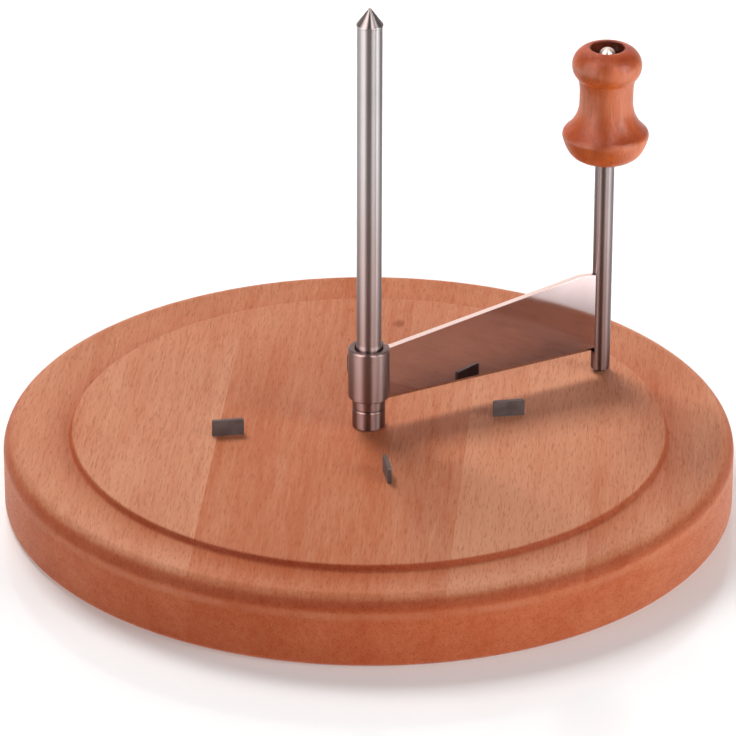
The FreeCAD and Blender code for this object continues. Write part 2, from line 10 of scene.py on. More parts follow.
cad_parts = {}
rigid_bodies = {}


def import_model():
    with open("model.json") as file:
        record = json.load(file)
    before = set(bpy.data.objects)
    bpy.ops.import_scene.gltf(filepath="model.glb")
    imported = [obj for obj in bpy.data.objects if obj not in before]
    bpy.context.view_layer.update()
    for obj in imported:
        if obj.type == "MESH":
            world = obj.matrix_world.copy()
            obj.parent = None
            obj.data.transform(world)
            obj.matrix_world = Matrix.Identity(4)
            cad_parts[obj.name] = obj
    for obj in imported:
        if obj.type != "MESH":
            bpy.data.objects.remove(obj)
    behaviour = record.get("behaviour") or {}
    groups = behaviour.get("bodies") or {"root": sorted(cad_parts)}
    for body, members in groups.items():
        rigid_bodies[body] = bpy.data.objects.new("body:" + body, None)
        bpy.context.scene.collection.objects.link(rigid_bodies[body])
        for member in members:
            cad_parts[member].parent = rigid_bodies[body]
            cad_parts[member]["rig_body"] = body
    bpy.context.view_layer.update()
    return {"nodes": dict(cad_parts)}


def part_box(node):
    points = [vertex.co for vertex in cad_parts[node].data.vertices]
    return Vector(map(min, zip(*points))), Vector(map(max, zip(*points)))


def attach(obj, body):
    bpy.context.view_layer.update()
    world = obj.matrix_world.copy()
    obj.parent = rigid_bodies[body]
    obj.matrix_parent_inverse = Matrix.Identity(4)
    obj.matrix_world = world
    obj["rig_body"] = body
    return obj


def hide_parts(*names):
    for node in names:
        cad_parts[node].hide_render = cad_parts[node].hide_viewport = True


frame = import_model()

bl_info = {
    "name": "Cheese curler",
    "version": (1, 0, 0),
    "blender": (4, 5, 0),
    "location": "3D View > Sidebar > Curler",
    "description": "A scraper blade that is cranked round a spindle, above a round wooden board",
    "category": "Object",
}

MM = 0.001


# ---- sizes, colours and stage


length = partial(FloatProperty, subtype="DISTANCE", unit="LENGTH", precision=5)
power = partial(FloatProperty, subtype="POWER", unit="POWER")
share = partial(FloatProperty, min=0.0, max=1.0, subtype="FACTOR")
colour = partial(FloatVectorProperty, size=3, min=0.0, max=1.0, subtype="COLOR")
place = partial(FloatVectorProperty, size=3, subtype="TRANSLATION", unit="LENGTH")


def angle(default, **facts):
    """Angle with its default in degrees."""
    return FloatProperty(default=math.radians(default), subtype="ANGLE", unit="ROTATION", **facts)


def named(group):
    """Make each property from its kind, description and default, and name it as its attribute."""
    for key, (kind, description, default) in group.__annotations__.items():
        group.__annotations__[key] = kind(name=key.replace("_", " ").capitalize(),
                                          description=description, default=default)
    return group


@named
class CurlerShape(bpy.types.PropertyGroup):
    """Sizes that the frame's boxes don't give."""

    edge_round: (length, "Round along the board's rim", 0.0046)
    foot_bevel: (length, "Bevel of the board's bottom edge", 0.0012)
    rim_drop: (length, "Rim below the board's top", 0.00065)
    groove_inset: (length, "Groove's deepest line from the board's edge", 0.0189)
    groove_round: (length, "Round at the foot of the groove's wall", 0.0012)
    groove_wall_slope: (angle, "Slope of the groove's inner wall", 65)
    groove_depth: (length, "Depth of the groove", 0.00205)
    lip_softness: (length, "Sanded corners of the board", 0.0005)
    seat_radius: (length, "Spindle seat in the board", 0.00395)
    seat_depth: (length, "Spindle seat in the board", 0.008)
    screw_hole_radius: (length, "Hole for the anchor screw", 0.00275)
    counterbore_radius: (length, "Recess under the board", 0.0085)
    counterbore_depth: (length, "Recess under the board", 0.007)
    prong_width: (length, "Width of the holding prongs", 0.0096)
    prong_plate: (length, "Thickness of the holding prongs", 0.0012)
    prong_turn: (angle, "Direction of the first pair of prongs", -19)
    prong_gap: (length, "Room between a prong and its slot", 0.00003)
    shaft_radius: (length, "Spindle above its journal", 0.00375)
    journal_proud: (length, "Journal that shows above the hub", 0.0005)
    journal_taper: (length, "Cone between journal and shaft", 0.001)
    tapped_radius: (length, "Hole in the spindle's foot", 0.00253)
    tapped_depth: (length, "Hole in the spindle's foot", 0.013)
    spigot_radius: (length, "Spigot below the point", 0.002)
    spigot_length: (length, "Spigot below the point", 0.008)
    spigot_gap: (length, "Room round the spigot", 0.00003)
    lip_height: (length, "Straight rim under the point's cone", 0.0005)
    tip_radius: (length, "Blunted tip of the point", 0.00025)
    steel_softness: (length, "Corners of the turned and ground steel", 0.0001)
    ring_bevel: (length, "Outer edges of the collar and the ring", 0.00035)
    seat_gap: (length, "Air between faces that turn on each other", 0.00002)
    collar_bore: (length, "Bore radius of the fixed collar", 0.00395)
    ring_bore: (length, "Bore radius of the loose ring", 0.004)
    hub_bore: (length, "Bore radius of the hub", 0.0042)
    hub_bevel: (length, "Edges of the hub", 0.0004)
    blade_let_in: (length, "Depth of the blade's slots", 0.001)
    blade_rise: (length, "Top edge at the hub, below its highest", 0.0091)
    blade_corner: (length, "Rounded corner outside the rod", 0.005)
    blade_corner_drop: (length, "How far the corner falls", 0.0005)
    blade_corner_round: (length, "How far its rounding reaches", 0.0012)
    blade_bevel: (length, "Height of the ground bevel", 0.0016)
    blade_edge: (length, "Thickness left at the cutting edge", 0.00035)
    rod_bevel: (length, "Bevel of the rod's lower end", 0.0005)
    rod_journal: (length, "Radius that the knob turns on", 0.0024)
    rod_dome: (length, "Height of the domed end", 0.0015)
    clip_groove_depth: (length, "Groove for the retaining ring", 0.0004)
    knob_neck: (length, "Radius of the narrowest part", 0.0081)
    knob_head_swell: (length, "How far the head stands out", 0.00245)
    knob_base_rise: (length, "Lower end up to the widest part", 0.0076)
    knob_flare_rise: (length, "Widest part up to the neck", 0.0109)
    knob_neck_rise: (length, "Straight part of the neck", 0.003)
    knob_shoulder_rise: (length, "Neck up to the bead", 0.0045)
    knob_bead_rise: (length, "Bead up to its widest", 0.0043)
    knob_bead_round: (length, "Round of the bead", 0.00575)
    knob_foot: (length, "Radius of the flat lower end", 0.007)
    knob_underside: (length, "Round from the lower end to the side", 0.0064)
    knob_side_inset: (length, "Foot of the side, in from the widest", 0.00155)
    knob_side_level: (length, "Foot of the side above the end", 0.0033)
    knob_side_round: (length, "Round of the side", 0.016)
    knob_crest_width: (length, "Round above the widest part", 0.0007)
    knob_crest_height: (length, "Round above the widest part", 0.0017)
    knob_rim: (length, "Flat rim round the recess", 0.0011)
    knob_recess: (length, "Radius of the recess in the top", 0.0051)
    knob_recess_depth: (length, "Depth of the recess", 0.005)
    knob_bore: (length, "Bore radius round the rod's journal", 0.0025)
    knob_socket: (length, "Bore radius round the full rod", 0.00305)
    knob_socket_depth: (length, "How far the full rod enters", 0.008)
    wide_steps: (IntProperty, "Sides of the board", 256)
    narrow_steps: (IntProperty, "Sides of the rods", 96)


@named
class CurlerFinish(bpy.types.PropertyGroup):
    """Colours and surfaces."""

    wood_light: (colour, "Pale staves of the board", (0.59, 0.258, 0.147))
    wood_dark: (colour, "Red staves of the board", (0.455, 0.135, 0.06))
    wood_fleck: (colour, "Short dark pores", (0.22, 0.045, 0.016))
    # Painted shade: the board's faces that don't look up, darker and redder than its top
    wood_side: (colour, "Tint of the board's side", (1.0, 0.86, 0.8))
    wood_ends: (colour, "Tint of the side where it cuts the grain", (0.95, 0.73, 0.61))
    # Painted shade in the groove and over the slope to the rim
    wood_stain: (colour, "Tint of the groove and the rim", (0.85, 0.68, 0.6))
    # Painted shade on the rounded edge
    wood_edge: (colour, "Tint of the rounded edge", (0.8, 0.66, 0.6))
    knob_light: (colour, "Pale streaks of the knob", (0.62, 0.15, 0.04))
    knob_dark: (colour, "Darker streaks of the knob", (0.36, 0.07, 0.02))
    # Painted shade on the knob's faces that look up, and painted warm light from below on faces
    # that look down
    knob_upper: (colour, "Tint of faces that look up", (0.78, 0.52, 0.42))
    knob_lower: (colour, "Tint of faces that look down", (1.0, 0.9, 0.6))
    # Painted shade inside the knob's recess
    knob_inside: (colour, "Tint of the recess", (0.3, 0.2, 0.22))
    wood_roughness: (share, "Oiled and waxed", 0.4)
    wood_gloss: (share, "Strength of the board's sheen", 0.04)
    knob_gloss: (share, "Strength of the knob's sheen", 0.35)
    grain_turn: (angle, "Direction of the board's grain", 57.5)
    steel: (colour, "Spindle, hub and rings", (0.22, 0.21, 0.21))
    # Painted shade: a darker copy of the spindle's steel for the rod's darker reflections
    rod_steel: (colour, "Crank rod", (0.17, 0.16, 0.16))
    # Painted reflection of the board on the steel near its foot
    wood_cast: (colour, "Warm cast on the steel close to the board", (1.0, 0.72, 0.68))
    cast_height: (length, "How far that cast reaches up", 0.08)
    steel_roughness: (share, "Along the turning lines", 0.32)
    steel_stretch: (share, "Highlights drawn out by the lines", 0.96)
    # Painted highlight on the rod's domed end
    rod_end: (colour, "Bright domed end in the knob", (0.9, 0.84, 0.78))
    blade_steel: (colour, "Polished blade", (0.43, 0.34, 0.333))
    # Painted highlight along the blade's upper edge
    blade_top: (colour, "Bright upper edge", (0.95, 0.84, 0.8))
    # Painted shade on the ground bevel, which faces down
    blade_ground: (colour, "Tint of the ground bevel", (0.3, 0.22, 0.2))
    blade_roughness: (share, "Polished blade", 0.06)
    prong_steel: (colour, "Dull plates", (0.085, 0.075, 0.075))
    prong_roughness: (share, "Dull plates", 0.5)
    plated: (colour, "Screw, washers and retaining ring", (0.55, 0.55, 0.54))


@named
class CurlerStage(bpy.types.PropertyGroup):
    """Camera, lamps and floor."""

    camera_place: (place, "Where the camera stands", (-0.6804, -1.27374, 0.74717))
    camera_turn: (angle, "Heading about the vertical", -28.099)
    camera_tilt: (angle, "Angle from looking straight down", 63.954)
    camera_roll: (angle, "Turn about the line of sight", 0.156)
    camera_lens: (FloatProperty, "Focal length in millimetres", 262.16)
    camera_reach: (length, "Farthest that the camera sees", 50.0)
    sky: (share, "Brightness of the plain surroundings on the object", 0.17)
    key_power: (power, "Soft lamp above and behind", 17.3)
    back_power: (power, "Wide low lamp behind", 6.0)
    right_power: (power, "Soft lamp on the right", 12.8)
    left_power: (power, "Soft lamp on the left", 1.9)
    lamp_distance: (length, "From what the lamps look at", 1.4)
    lamp_aim: (length, "Height of what the lamps look at", 0.03)
    floor_radius: (length, "Radius of the floor", 4.0)
    floor_albedo: (share, "How much light the floor sends back", 0.76)
    floor_glow: (share, "Extra white that the floor gives off", 0.305)
    # Painted shade on the floor round the board's foot
    floor_shade: (share, "Share of that glow next to the board", 0.7)
    floor_fade: (length, "Way from the board to where the floor glows fully", 0.06)
    floor_roughness: (share, "Blur of what the floor mirrors", 0.11)
    floor_ior: (FloatProperty, "Index of refraction, for the strength of the mirroring", 1.6)
    floor_gap: (length, "Floor below the board, so that the two never coincide", 0.0001)
    screen_radius: (length, "Screen round the object that only gloss shows", 1.6)
    screen_height: (length, "Height of that screen", 6.0)
    screen_tint: (colour, "Warmth of what the steel mirrors", (1.0, 0.84, 0.8))
    stage_steps: (IntProperty, "Sides of floor and screen", 96)


def shape():
    return bpy.context.scene.curler_shape


def look():
    return bpy.context.scene.curler_finish


def stage():
    return bpy.context.scene.curler_stage


# ---- making pieces

MERGE = 1e-7


class Turning:
    """A profile in the XZ plane, x being the distance from the axis, turned once round Z."""

    def __init__(self, x, z, soft=0.0):
        self.mesh = bmesh.new()
        self.tip = self.mesh.verts.new((x, 0.0, z))
        self.start = (x, z)
        self.corners = {}
        self.soften(soft)

    def soften(self, soft):
        if soft:
            self.corners.setdefault(soft, []).append(self.tip)

    def to(self, x, z, soft=0.0):
        """Straight line to x, z; the new corner is rounded a little if soft is given."""
        self.tip = bmesh.ops.extrude_vert_indiv(self.mesh, verts=[self.tip])["verts"][0]
        self.tip.co = (x, 0.0, z)
        self.soften(soft)
        return self

    def arc(self, x, z, radius, steps=10, left=True, soft=0.0):
        """Arc to x, z with its centre on the left or right of the way there."""
        start = self.tip.co.copy()
        chord = Vector((x, 0.0, z)) - start
        half = chord.length / 2
        side = Vector((-chord.z, 0.0, chord.x)).normalized()
        reach = math.sqrt(max(radius ** 2 - half ** 2, 0.0))
        centre = start + chord / 2 + side * (reach if left else -reach)
        swept = bmesh.ops.spin(self.mesh, geom=[self.tip], cent=centre,
                               axis=(0, -1 if left else 1, 0), steps=steps,
                               angle=2 * math.asin(min(half / radius, 1.0)))
        self.tip = [item for item in swept["geom_last"] if isinstance(item, bmesh.types.BMVert)][0]
        self.soften(soft)
        return self

    def close(self):
        return self.to(*self.start)

    def turned(self, steps, x=0.0):
        """The finished mesh, with its axis at x."""
        mesh = self.mesh
        for offset, corners in self.corners.items():
            bmesh.ops.bevel(mesh, geom=corners, offset=offset, offset_type="OFFSET", segments=3,
                            affect="VERTICES", profile=0.5, material=-1)
        bmesh.ops.remove_doubles(mesh, verts=mesh.verts[:], dist=MERGE)
        bmesh.ops.spin(mesh, geom=mesh.verts[:] + mesh.edges[:], cent=(0, 0, 0), axis=(0, 0, 1),
                       angle=math.tau, steps=steps, use_merge=True)
        tidy(mesh)
        shift(mesh, (x, 0, 0))
        return mesh


def shift(mesh, way):
    bmesh.ops.translate(mesh, verts=mesh.verts[:], vec=way)


def upright_arc(step, rise):
    """Radius of an arc that stands upright at one end: step across and rise up to the other."""
    return (step ** 2 + rise ** 2) / (2 * step)


def tidy(mesh):
    """Merge doubles, then turn every face outwards."""
    bmesh.ops.remove_doubles(mesh, verts=mesh.verts[:], dist=MERGE)
    bmesh.ops.recalc_face_normals(mesh, faces=mesh.faces[:])


def plate(corners, thickness, rounds=()):
    """Plate in the XZ plane, centred on Y, with some of its outline's corners rounded."""
    mesh = bmesh.new()
    tip = mesh.verts.new((corners[0][0], 0.0, corners[0][1]))
    chain = [tip]
    for x, z in corners[1:]:
        tip = bmesh.ops.extrude_vert_indiv(mesh, verts=[tip])["verts"][0]
        tip.co = (x, 0.0, z)
        chain.append(tip)
    bmesh.ops.contextual_create(mesh, geom=chain)
    for index, reach in rounds:
        bmesh.ops.bevel(mesh, geom=[chain[index]], offset=reach, offset_type="OFFSET", segments=8,
                        affect="VERTICES", profile=0.5, material=-1)
    shift(mesh, (0, -thickness / 2, 0))
    grown = bmesh.ops.extrude_face_region(mesh, geom=mesh.faces[:])["geom"]
    raised = [item for item in grown if isinstance(item, bmesh.types.BMVert)]
    bmesh.ops.translate(mesh, verts=raised, vec=(0, thickness, 0))
    tidy(mesh)
    return mesh


def soften_edges(mesh, width, least):
    """Take the sharpness off every edge that turns by more than the least angle, in degrees."""
    edges = [edge for edge in mesh.edges if len(edge.link_faces) == 2
             and edge.calc_face_angle() > math.radians(least)]
    bmesh.ops.bevel(mesh, geom=edges, offset=width, offset_type="OFFSET", segments=2,
                    affect="EDGES", profile=0.5, material=-1, clamp_overlap=True)


def block(low, high):
    """Box between two corners."""
    mesh = bmesh.new()
    low, high = Vector(low), Vector(high)
    bmesh.ops.create_cube(mesh, size=1.0)
    bmesh.ops.scale(mesh, vec=high - low, verts=mesh.verts[:])
    shift(mesh, (low + high) / 2)
    return mesh


def new_object(name, mesh):
    data = bpy.data.meshes.new(name)
    mesh.to_mesh(data)
    mesh.free()
    made = bpy.data.objects.new(name, data)
    bpy.context.scene.collection.objects.link(made)
    return made


def cut(target, mesh):
    """Take the shape of mesh out of the target."""
    tool = new_object("cutter", mesh)
    step = target.modifiers.new("cut", "BOOLEAN")
    step.operation = "DIFFERENCE"
    step.solver = "EXACT"
    step.object = tool
    seen = bpy.context.evaluated_depsgraph_get()
    result = bpy.data.meshes.new_from_object(target.evaluated_get(seen))
    target.modifiers.remove(step)
    pale_band, spent = target.data, tool.data
    target.data = result
    bpy.data.objects.remove(tool)
    for data in (pale_band, spent):
        bpy.data.meshes.remove(data)
    result.name = target.name


def finish_piece(made, node, material, sharp=35):
    """Shade the piece, give it its finish, and let it stand for its CAD node."""
    made.data.materials.clear()
    made.data.materials.append(material)
    made.data.shade_smooth()
    made.data.set_sharp_from_angle(angle=math.radians(sharp))
    weighted = made.modifiers.new("even_shading", "WEIGHTED_NORMAL")
    weighted.keep_sharp = True
    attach(made, frame["nodes"][node]["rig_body"])
    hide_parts(node)


def axis_of(node):
    """Where the node's vertical axis stands, its outer radius, and its lowest and highest level."""
    low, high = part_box(node)
    return (low.x + high.x) / 2, (high.y - low.y) / 2, low.z, high.z


# ---- finishes


class Recipe:
    """The nodes of a material or of the world."""

    def __init__(self, owner):
        owner.use_nodes = True
        self.owner = owner
        self.nodes = owner.node_tree.nodes
        self.links = owner.node_tree.links
        self.nodes.clear()

    def add(self, kind, inputs=None, **settings):
        node = self.nodes.new("ShaderNode" + kind)
        for name, value in settings.items():
            setattr(node, name, value)
        for key, value in (inputs or {}).items():
            if isinstance(value, bpy.types.NodeSocket):
                self.links.new(value, node.inputs[key])
            else:
                node.inputs[key].default_value = value
        return node

    def calc(self, operation, *values):
        return self.add("Math", dict(enumerate(values)), operation=operation).outputs[0]

    def times(self, first, *others):
        """Product of all the values."""
        for value in others:
            first = self.calc("MULTIPLY", first, value)
        return first

    def total(self, start, *shares):
        """Start value, and each further value times its weight."""
        for value, weight in shares:
            start = self.calc("MULTIPLY_ADD", value, weight, start)
        return start

    def vector(self, operation, first, second):
        return self.add("VectorMath", {0: first, 1: second}, operation=operation).outputs[0]

    def distance(self, vector):
        return self.add("VectorMath", {0: vector}, operation="LENGTH").outputs["Value"]

    def split(self, vector):
        return self.add("SeparateXYZ", {"Vector": vector}).outputs

    def from_axis(self, parts):
        """Distance from the upright axis through the origin of the coordinates."""
        return self.distance(self.add("CombineXYZ", {"X": parts["X"], "Y": parts["Y"]}).outputs[0])

    def facing(self):
        """Direction that the surface faces, in the piece's own axes."""
        return self.add("TexCoord").outputs["Normal"]

    def place(self, turn=0.0, centre=(0, 0, 0)):
        """Object coordinates in millimetres from a centre, with the grain turned onto X."""
        at = self.add("TexCoord").outputs["Object"]
        moved = self.add("Mapping", {"Vector": at, "Location": [-value for value in centre]})
        return self.add("Mapping", {"Vector": moved.outputs[0], "Rotation": (0, 0, -turn),
                                    "Scale": (1.0 / MM,) * 3}).outputs[0]

    def stretch(self, at, sizes):
        """Coordinates counted in patches of the given three sizes."""
        return self.vector("MULTIPLY", at, tuple(1.0 / size for size in sizes))

    def noise(self, at, sizes, detail=2.0, roughness=0.5):
        return self.add("TexNoise", {"Vector": self.stretch(at, sizes), "Scale": 1.0,
                                     "Detail": detail, "Roughness": roughness}).outputs["Fac"]

    def remap(self, value, low, high, to_low=0.0, to_high=1.0, smooth=False):
        return self.add("MapRange", {"Value": value, "From Min": low, "From Max": high,
                                     "To Min": to_low, "To Max": to_high}, clamp=True,
                        interpolation_type="SMOOTHSTEP" if smooth else "LINEAR").outputs[0]

    def band(self, value, foot, full, last, end):
        """1 from full to last, fading to 0 at foot and at end."""
        return self.times(self.remap(value, foot, full, smooth=True),
                          self.remap(value, last, end, 1.0, 0.0, smooth=True))

    def blend(self, factor, first, second, kind="MIX"):
        node = self.add("Mix", data_type="RGBA", blend_type=kind)
        for index, value in ((0, factor), (6, first), (7, second)):
            if isinstance(value, bpy.types.NodeSocket):
                self.links.new(value, node.inputs[index])
            elif index:
                node.inputs[index].default_value = (*value[:3], 1.0)
            else:
                node.inputs[index].default_value = value
        return node.outputs[2]

    def tint(self, factor, base, tone):
        """The base, multiplied by the tone as far as the factor says."""
        return self.blend(factor, base, self.blend(1.0, base, tone, "MULTIPLY"))

    def ramp(self, value, stops, constant=False):
        node = self.add("ValToRGB", {"Fac": value})
        band = node.color_ramp
        band.interpolation = "CONSTANT" if constant else "LINEAR"
        while len(band.elements) < len(stops):
            band.elements.new(1.0)
        for element, (position, tone) in zip(band.elements, stops):
            element.position = position
            element.color = (tone, tone, tone, 1.0)
        return node.outputs["Color"]

    def bump(self, height, depth):
        """Relief of a depth in millimetres."""
        return self.add("Bump", {"Height": height, "Distance": depth * MM}).outputs[0]

    def mixed(self, factor, first, second):
        return self.add("MixShader", {0: factor, 1: first, 2: second}).outputs[0]

    def shader(self, inputs):
        self.add("OutputMaterial", {"Surface": self.add("BsdfPrincipled", inputs).outputs[0]})
        return self.owner

    def wood(self, base, rough, gloss, fibres, pores, depth):
        relief = self.calc("SUBTRACT", self.times(fibres, 0.5), pores)
        return self.shader({"Base Color": base, "Roughness": rough, "IOR": 1.5,
                            "Specular IOR Level": gloss, "Normal": self.bump(relief, depth)})

    def steel(self, base, rough, height, depth, **more):
        return self.shader({"Base Color": base, "Metallic": 1.0, "Roughness": rough,
                            "Normal": self.bump(height, depth), **more})


def once(build):
    """Keep the material that a recipe makes, and hand it out again when asked."""
    name = build.__name__

    def kept():
        made = bpy.data.materials.get(name)
        return made or build(Recipe(bpy.data.materials.new(name)), look())
    return kept


# Beech: patch sizes (mm) along, across and through the grain, then detail and roughness of the
# clouds, the streaks, the fibres and the dashes that give the pores.
FIGURE = (
    ((70, 16, 16), 2, 0.5),
    ((40, 2.4, 2.4), 3, 0.6),
    ((9, 0.75, 0.75), 3, 0.6),
    ((4.5, 0.5, 0.5), 1, 0.5),
)
PORE_RANGE = (0.54, 0.7)
NOISE_RANGE = (0.3, 0.7)
# Staves from one side of the board to the other: where each begins (0 to 1) and its paleness.
STAVES = ((0.0, 0.62), (0.187, 1.0), (0.36, 0.38), (0.464, 0.05), (0.7, 0.8))
# How far apart the figures of two staves lie that differ fully in paleness (mm).
STAVE_SHIFT = (431.0, 257.0, 173.0)
# Small marks on the board's top: place (mm), sizes along, across and down (mm), and strength.
MARKS = (
    ((41.6, 57.9), (4.0, 2.4, 3.0), 0.6),
    ((33.8, -89.6), (3.0, 1.0, 3.0), 0.7),
)


def wood_figure(recipe, at):
    """Clouds, streaks, fibres and pores of beech, along X of the given coordinates."""
    clouds, streaks, fibres, dashes = [recipe.noise(at, *layer) for layer in FIGURE]
    return clouds, streaks, fibres, recipe.remap(dashes, *PORE_RANGE, smooth=True)


@once
def oiled_board_beech(recipe, finish):
    _, radius, _, top = axis_of("board")
    rim, crown = radius / MM, top / MM
    at = recipe.place(turn=finish.grain_turn)
    parts = recipe.split(at)
    stave = recipe.ramp(recipe.remap(parts["Y"], -rim, rim), STAVES, constant=True)
    shifted = recipe.vector("ADD", at, recipe.vector("MULTIPLY", stave, STAVE_SHIFT))
    clouds, streaks, fibres, pores = wood_figure(recipe, shifted)

    facing = recipe.facing()
    side = recipe.remap(recipe.split(facing)["Z"], 0.995, 0.7, smooth=True)
    grain = (math.cos(finish.grain_turn), math.sin(finish.grain_turn), 0.0)
    along = recipe.add("VectorMath", {0: facing, 1: grain}, operation="DOT_PRODUCT")
    ends = recipe.remap(recipe.calc("ABSOLUTE", along.outputs["Value"]), 0.35, 0.95)

    # The staves differ most at the spindle, less along the grain and least on the side.
    near, far, reach, beside = 0.75, 0.15, 70.0, 0.12
    contrast = recipe.times(recipe.remap(parts["X"], 0.0, reach, near, far),
                            recipe.remap(side, 0, 1, 1.0, beside))
    stave = recipe.calc("SUBTRACT", stave, 0.5)
    tone = recipe.total(-1.0, (clouds, 1.1), (streaks, 0.9), (fibres, 1.0), (stave, contrast))
    base = recipe.blend(recipe.remap(tone, 0.0, 1.0), finish.wood_dark, finish.wood_light)
    base = recipe.blend(recipe.times(pores, 0.28), base, finish.wood_fleck)
    # Painted shade: faces that don't look up are tinted darker and redder than the top.
    base = recipe.tint(side, base, finish.wood_side)
    base = recipe.tint(recipe.times(side, ends), base, finish.wood_ends)

    # Painted shade in the groove, fading over the slope to a little on the rim, on the upper part
    # of the board only.
    out = recipe.from_axis(parts)
    groove = (radius - shape().groove_inset) / MM
    groove_shade_mask = recipe.times(recipe.remap(out, groove - 2.0, groove - 1.4),
                         recipe.remap(out, groove, groove + 9.0, 0.75, 0.1),
                         recipe.remap(parts["Z"], crown - 8.0, crown - 3.0))
    base = recipe.tint(groove_shade_mask, base, finish.wood_stain)

    for centre, sizes, strength in MARKS:
        where = recipe.place(turn=finish.grain_turn, centre=(centre[0] * MM, centre[1] * MM, top))
        away = recipe.distance(recipe.stretch(where, sizes))
        spot = recipe.remap(away, 0.25, 1.0, strength, 0.0, smooth=True)
        base = recipe.blend(spot, base, finish.wood_fleck)

    # A dark line painted on the rounded edge as shade, and a paler band below it, broken up by
    # noise.
    depth = recipe.calc("SUBTRACT", crown, parts["Z"])
    outer = recipe.remap(out, rim - 7.0, rim - 5.0)
    edge = recipe.times(recipe.band(depth, 0.9, 2.4, 3.6, 5.2), outer, 0.85)
    base = recipe.tint(edge, base, finish.wood_edge)
    patchiness = recipe.remap(recipe.noise(at, (14, 14, 14), detail=3), 0.38, 0.6, 0.35, 1.0)
    pale_band = recipe.times(recipe.band(depth, 4.4, 5.6, 6.2, 8.0), patchiness, 0.32)
    base = recipe.blend(pale_band, base, finish.wood_light)

    rough = recipe.remap(clouds, *NOISE_RANGE, finish.wood_roughness - 0.04,
                         finish.wood_roughness + 0.06)
    rough = recipe.total(rough, (pores, 0.12))
    return recipe.wood(base, rough, finish.wood_gloss, fibres, pores, 0.04)


@once
def oiled_knob_beech(recipe, finish):
    axis, _, low, _ = axis_of("knob")
    parts = recipe.split(recipe.place(centre=(axis, 0.0, low)))
    upright = recipe.add("CombineXYZ", {"X": parts["Z"], "Y": parts["X"], "Z": parts["Y"]})
    clouds, streaks, fibres, pores = wood_figure(recipe, upright.outputs[0])
    tone = recipe.total(0.0, (clouds, 0.9), (streaks, 1.1), (fibres, 0.6))
    base = recipe.blend(recipe.remap(tone, 0.85, 1.65), finish.knob_dark, finish.knob_light)
    base = recipe.blend(recipe.times(pores, 0.3), base, finish.wood_fleck)
    up = recipe.split(recipe.facing())["Z"]
    # Painted shade on faces that look up, and painted warm light from the floor on faces that look
    # down.
    base = recipe.tint(recipe.remap(up, 0.1, 0.8), base, finish.knob_upper)
    base = recipe.tint(recipe.remap(up, -0.15, -0.7), base, finish.knob_lower)
    recess = shape().knob_recess / MM
    # Painted shade inside the recess.
    recess_shading = recipe.remap(recipe.from_axis(parts), recess + 0.1, recess + 0.5, 1.0, 0.0)
    base = recipe.tint(recess_shading, base, finish.knob_inside)
    rough = recipe.remap(clouds, *NOISE_RANGE, finish.wood_roughness - 0.12,
                         finish.wood_roughness - 0.04)
    return recipe.wood(base, rough, finish.knob_gloss, fibres, pores, 0.03)


def steel_base(recipe, tone):
    """Coordinates, cloudiness, and the tone made a little uneven by it."""
    at = recipe.place()
    haze = recipe.noise(at, (14, 14, 20), detail=3)
    darker = [value * 0.88 for value in tone]
    return at, haze, recipe.blend(recipe.remap(haze, *NOISE_RANGE), darker, tone)


def turned_steel(recipe, finish, tone, axis, highlight_above=None):
    """Bare steel with fine lines round an upright axis, a painted reflection of the board on its
    lower part, and a painted highlight on the end above a level.
    """
    at, _, base = steel_base(recipe, tone)
    level = recipe.split(at)["Z"]
    foot = axis_of("spindle_collar")[3]
    # Painted reflection of the board: the steel is tinted warm near its foot, fading upwards.
    board_reflection = recipe.remap(level, foot / MM, (foot + finish.cast_height) / MM, 1.0, 0.0)
    base = recipe.tint(board_reflection, base, finish.wood_cast)
    lines = recipe.noise(at, (40, 40, 0.35), detail=3, roughness=0.7)
    # Painted highlight: the end above the level is made bright.
    if highlight_above:
        end = recipe.remap(level, highlight_above / MM - 0.2, highlight_above / MM)
        base = recipe.blend(end, base, finish.rod_end)
    around = recipe.vector("CROSS_PRODUCT", (0.0, 0.0, 1.0), recipe.place(centre=(axis, 0.0, 0.0)))
    along = recipe.vector("CROSS_PRODUCT", recipe.facing(), around)
    tangent = recipe.add("VectorTransform", {"Vector": along}, vector_type="VECTOR",
                         convert_from="OBJECT", convert_to="WORLD").outputs[0]
    rough = recipe.total(finish.steel_roughness - 0.04, (lines, 0.08))
    return recipe.steel(base, rough, lines, 0.002, Anisotropic=finish.steel_stretch,
                        Tangent=tangent)


@once
def ground_rod_steel(recipe, finish):
    return turned_steel(recipe, finish, finish.steel, 0.0)


@once
def crank_rod_steel(recipe, finish):
    # The rod's steel is a darker copy of the spindle's: painted shade.
    return turned_steel(recipe, finish, finish.rod_steel, axis_of("crank_rod")[0],
                        axis_of("knob_washer")[3])


@once
def polished_plate_steel(recipe, finish):
    at, haze, base = steel_base(recipe, finish.blade_steel)
    lines = recipe.noise(at, (0.3, 30, 30), detail=3, roughness=0.7)
    up = recipe.split(recipe.facing())["Z"]
    # Painted highlight: faces that look up are made bright and a little rougher.
    top = recipe.remap(up, 0.6, 0.9)
    base = recipe.blend(top, base, finish.blade_top)
    # Painted shade on the bevel, which faces down.
    base = recipe.tint(recipe.remap(up, -0.25, -0.5), base, finish.blade_ground)
    rough = recipe.total(finish.blade_roughness - 0.03, (haze, 0.06), (top, 0.25))
    return recipe.steel(base, rough, lines, 0.002)


@once
def dull_plate_steel(recipe, finish):
    blotch = recipe.noise(recipe.place(), (3, 3, 3), detail=4, roughness=0.6)
    pale = [value * 1.5 for value in finish.prong_steel]
    base = recipe.blend(recipe.remap(blotch, 0.35, 0.7), finish.prong_steel, pale)
    rough = recipe.remap(blotch, *NOISE_RANGE, finish.prong_roughness - 0.08,
                         finish.prong_roughness + 0.1)
    return recipe.steel(base, rough, blotch, 0.01, Metallic=0.6)


